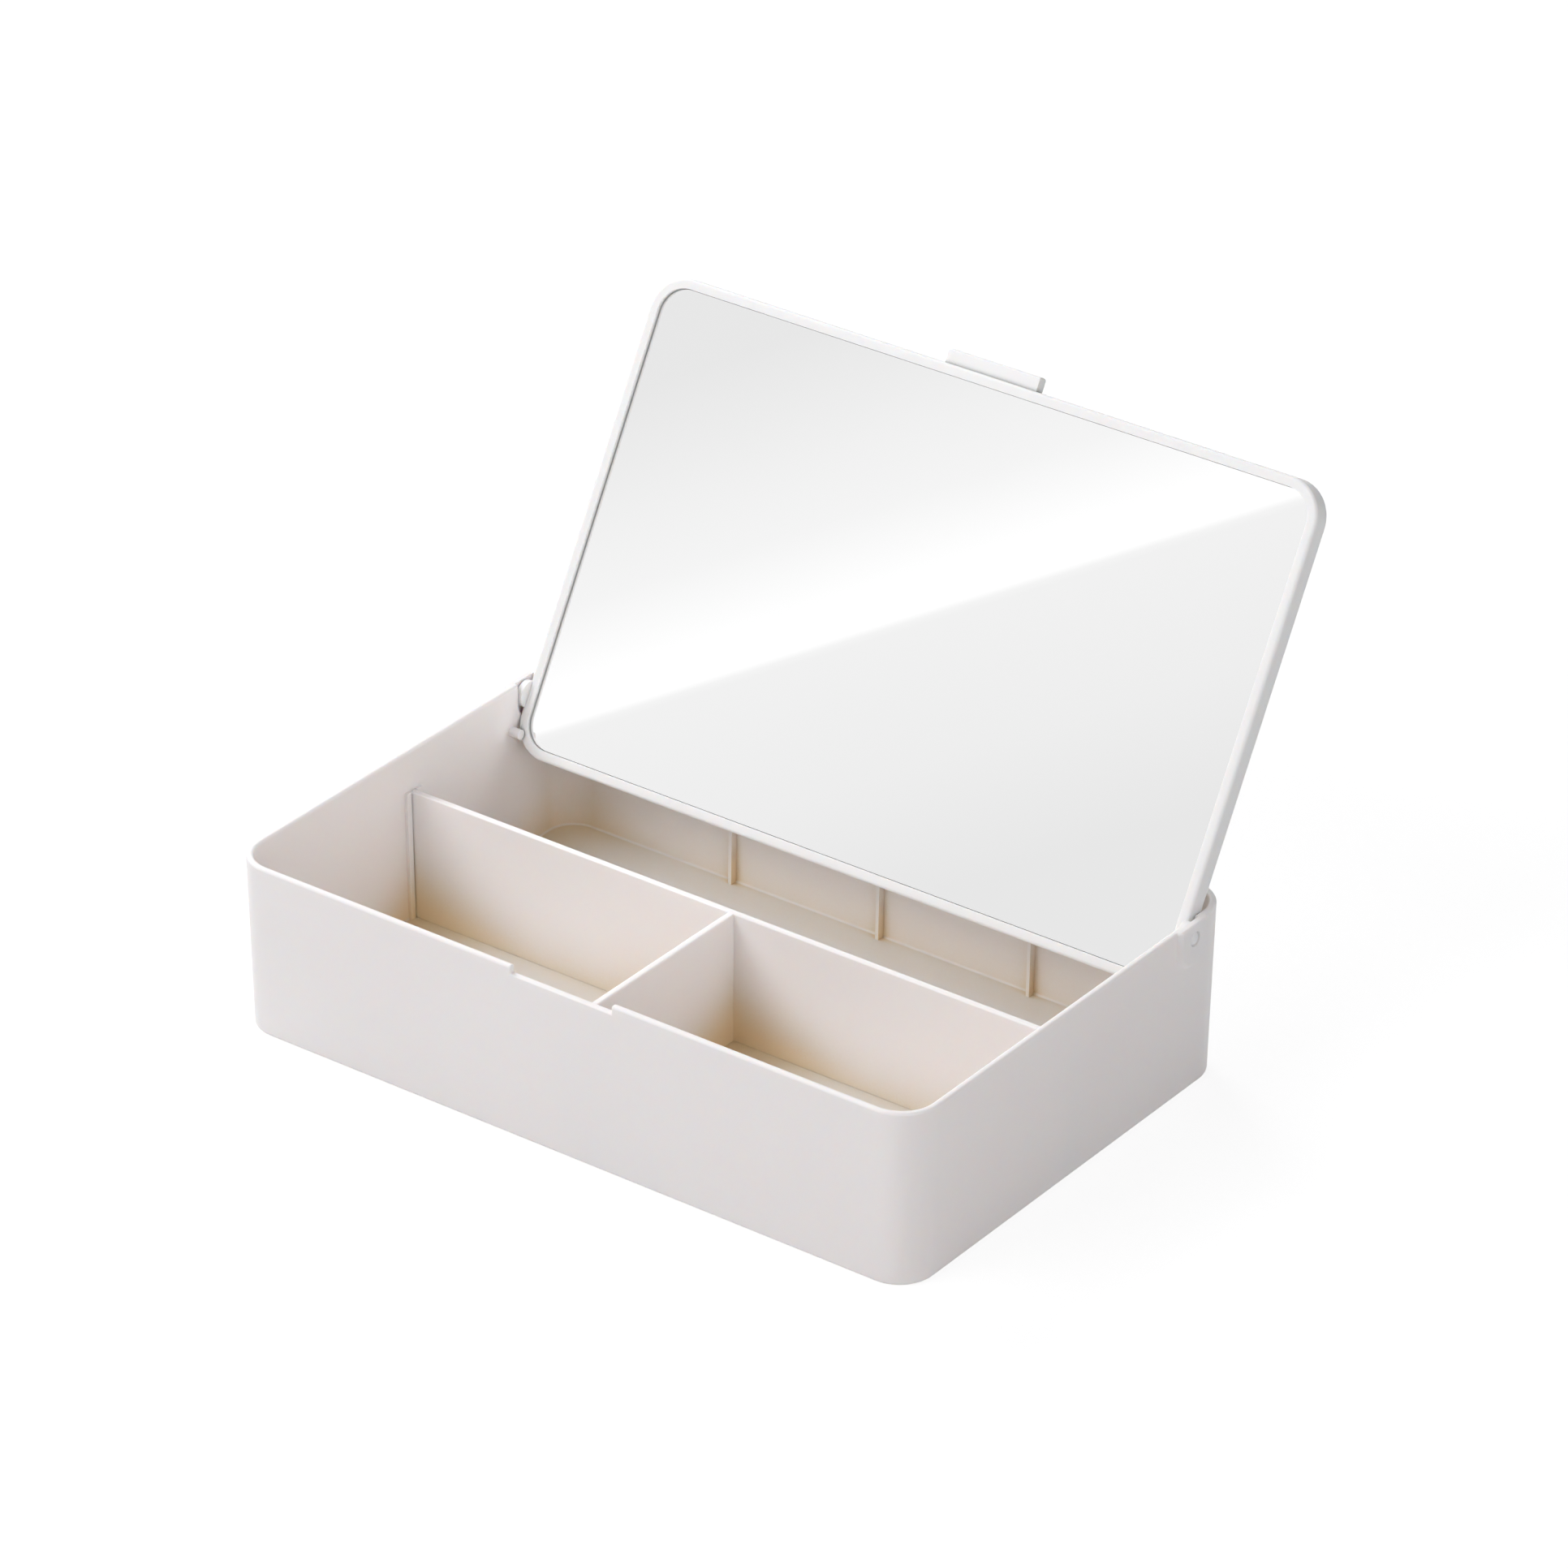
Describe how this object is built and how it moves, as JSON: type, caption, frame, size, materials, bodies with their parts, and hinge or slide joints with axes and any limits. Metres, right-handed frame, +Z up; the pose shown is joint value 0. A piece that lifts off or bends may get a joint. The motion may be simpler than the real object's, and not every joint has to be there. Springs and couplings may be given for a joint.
{
  "type": "make-up box",
  "caption": "Shallow white make-up box with a lift-out T partition and a hinged lid that carries a mirror and leans back on stops.",
  "frame": {"origin": "middle of the tray's underside", "axes": "+X to the user's right, +Y from the front to the hinge at the rear, +Z up; the lid is stored open"},
  "size_m": [0.2224, 0.19, 0.1538],
  "materials": {
    "white_plastic": "satin moulded polypropylene, warm white",
    "mirror_glass": "silvered float glass",
    "adhesive_tape": "double-sided foam tape"
  },
  "bodies": {
    "tray": {"tray": "white_plastic"},
    "partition": {"partition": "white_plastic"},
    "lid": {"lid": "white_plastic", "mirror": "mirror_glass", "mirror_tape": "adhesive_tape"}
  },
  "joints": [
    {"name": "lid_hinge", "type": "hinge", "parent": "tray", "child": "lid", "pos_m": [0, 0.052, 0.0469], "axis": [-1, 0, 0], "range_deg": [-120, 0]},
    {"name": "partition_lift", "type": "slide", "parent": "tray", "child": "partition", "axis": [0, 0, 1], "range_m": [0, 0.06]}
  ]
}
